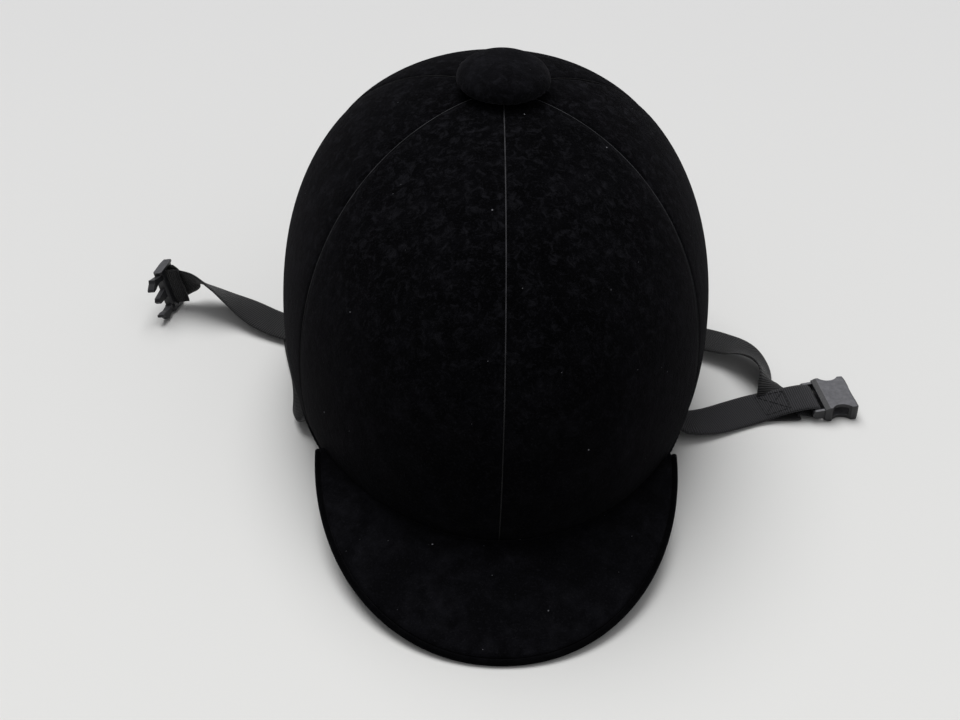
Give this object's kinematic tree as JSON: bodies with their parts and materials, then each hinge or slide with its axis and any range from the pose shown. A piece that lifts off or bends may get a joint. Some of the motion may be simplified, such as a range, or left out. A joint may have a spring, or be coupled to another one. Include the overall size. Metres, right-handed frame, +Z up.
{
  "type": "riding helmet",
  "caption": "Velvet-covered riding helmet with a crown button, a piped peak, a padded lining and a webbing chin harness that closes with a side-release buckle.",
  "frame": {"origin": "middle of the bounding box's underside: on the table, below the middle of the whole helmet", "axes": "+X to the wearer's left, across the helmet and along its laid-out straps; +Y to the back, so the peak points along -Y; +Z up"},
  "size_m": [0.3612, 0.3209, 0.175],
  "materials": {
    "velvet": "near-black cotton velvet, short dense pile, slightly dusty",
    "piping_velvet": "near-black velvet piping",
    "binding_velvet": "near-black velvet binding strip",
    "shell_plastic": "moulded black ABS, matt",
    "button_plastic": "moulded black plastic",
    "steel": "zinc-plated steel",
    "rivet_steel": "nickel-plated steel",
    "peak_rubber": "moulded flexible black rubber",
    "under_peak_cloth": "black woven cotton",
    "foam": "white expanded bead foam",
    "lining_cloth": "black knitted lining cloth",
    "padding_cloth": "black padded cloth",
    "webbing": "black woven polyamide webbing, ribbed across",
    "buckle_plastic": "dark grey moulded acetal, satin"
  },
  "bodies": {
    "helmet": {"shell": "shell_plastic", "gore_front_left": "velvet", "gore_side_left": "velvet", "gore_rear_left": "velvet", "gore_rear_right": "velvet", "gore_side_right": "velvet", "gore_front_right": "velvet", "button_velvet": "velvet", "button_core": "button_plastic", "button_screw": "steel", "button_washer": "steel", "peak_core": "peak_rubber", "peak_velvet": "velvet", "peak_lining": "under_peak_cloth", "peak_piping": "piping_velvet", "rim_binding": "binding_velvet", "foam_liner": "foam", "lining": "lining_cloth", "crown_cushion": "padding_cloth", "headband": "padding_cloth", "strap_rivets": "rivet_steel", "rivet_washers": "rivet_steel", "front_tab_left": "webbing", "rear_tab_left": "webbing", "front_tab_right": "webbing", "rear_tab_right": "webbing"},
    "left_harness": {"front_strap_left": "webbing", "rear_strap_left": "webbing"},
    "socket_half": {"buckle_socket": "buckle_plastic"},
    "right_harness": {"front_strap_right": "webbing", "chin_strap_right": "webbing"},
    "prong_half": {"buckle_prong_half": "buckle_plastic"},
    "upper_arm": {"upper_prong": "buckle_plastic"},
    "lower_arm": {"lower_prong": "buckle_plastic"}
  },
  "joints": [
    {"name": "left_harness_swing", "type": "hinge", "parent": "helmet", "child": "left_harness", "pos_m": [0.09053, 0.0315, 0.007], "axis": [0, -1, 0], "range_deg": [-95, 20]},
    {"name": "right_harness_swing", "type": "hinge", "parent": "helmet", "child": "right_harness", "pos_m": [-0.09053, 0.0315, 0.007], "axis": [0, 1, 0], "range_deg": [-95, 8]},
    {"name": "socket_pivot", "type": "hinge", "parent": "left_harness", "child": "socket_half", "pos_m": [0.1593, 0.0217, 0.004], "axis": [0.1564, -0.9877, 0], "range_deg": [-60, 60]},
    {"name": "prong_half_pivot", "type": "hinge", "parent": "right_harness", "child": "prong_half", "pos_m": [-0.17, 0.1041, 0.01222], "axis": [-0.2662, 0.0713, 0.9613], "range_deg": [-20, 20]},
    {"name": "upper_prong_squeeze", "type": "hinge", "parent": "prong_half", "child": "upper_arm", "pos_m": [-0.17457, 0.09642, 0.02068], "axis": [0.9285, -0.2488, 0.2756], "range_deg": [0, 7], "stiffness_Nm_per_rad": 0.4},
    {"name": "lower_prong_squeeze", "type": "hinge", "parent": "prong_half", "child": "lower_arm", "pos_m": [-0.16988, 0.09516, 0.00377], "axis": [-0.9285, 0.2488, -0.2756], "range_deg": [0, 7], "stiffness_Nm_per_rad": 0.4}
  ]
}
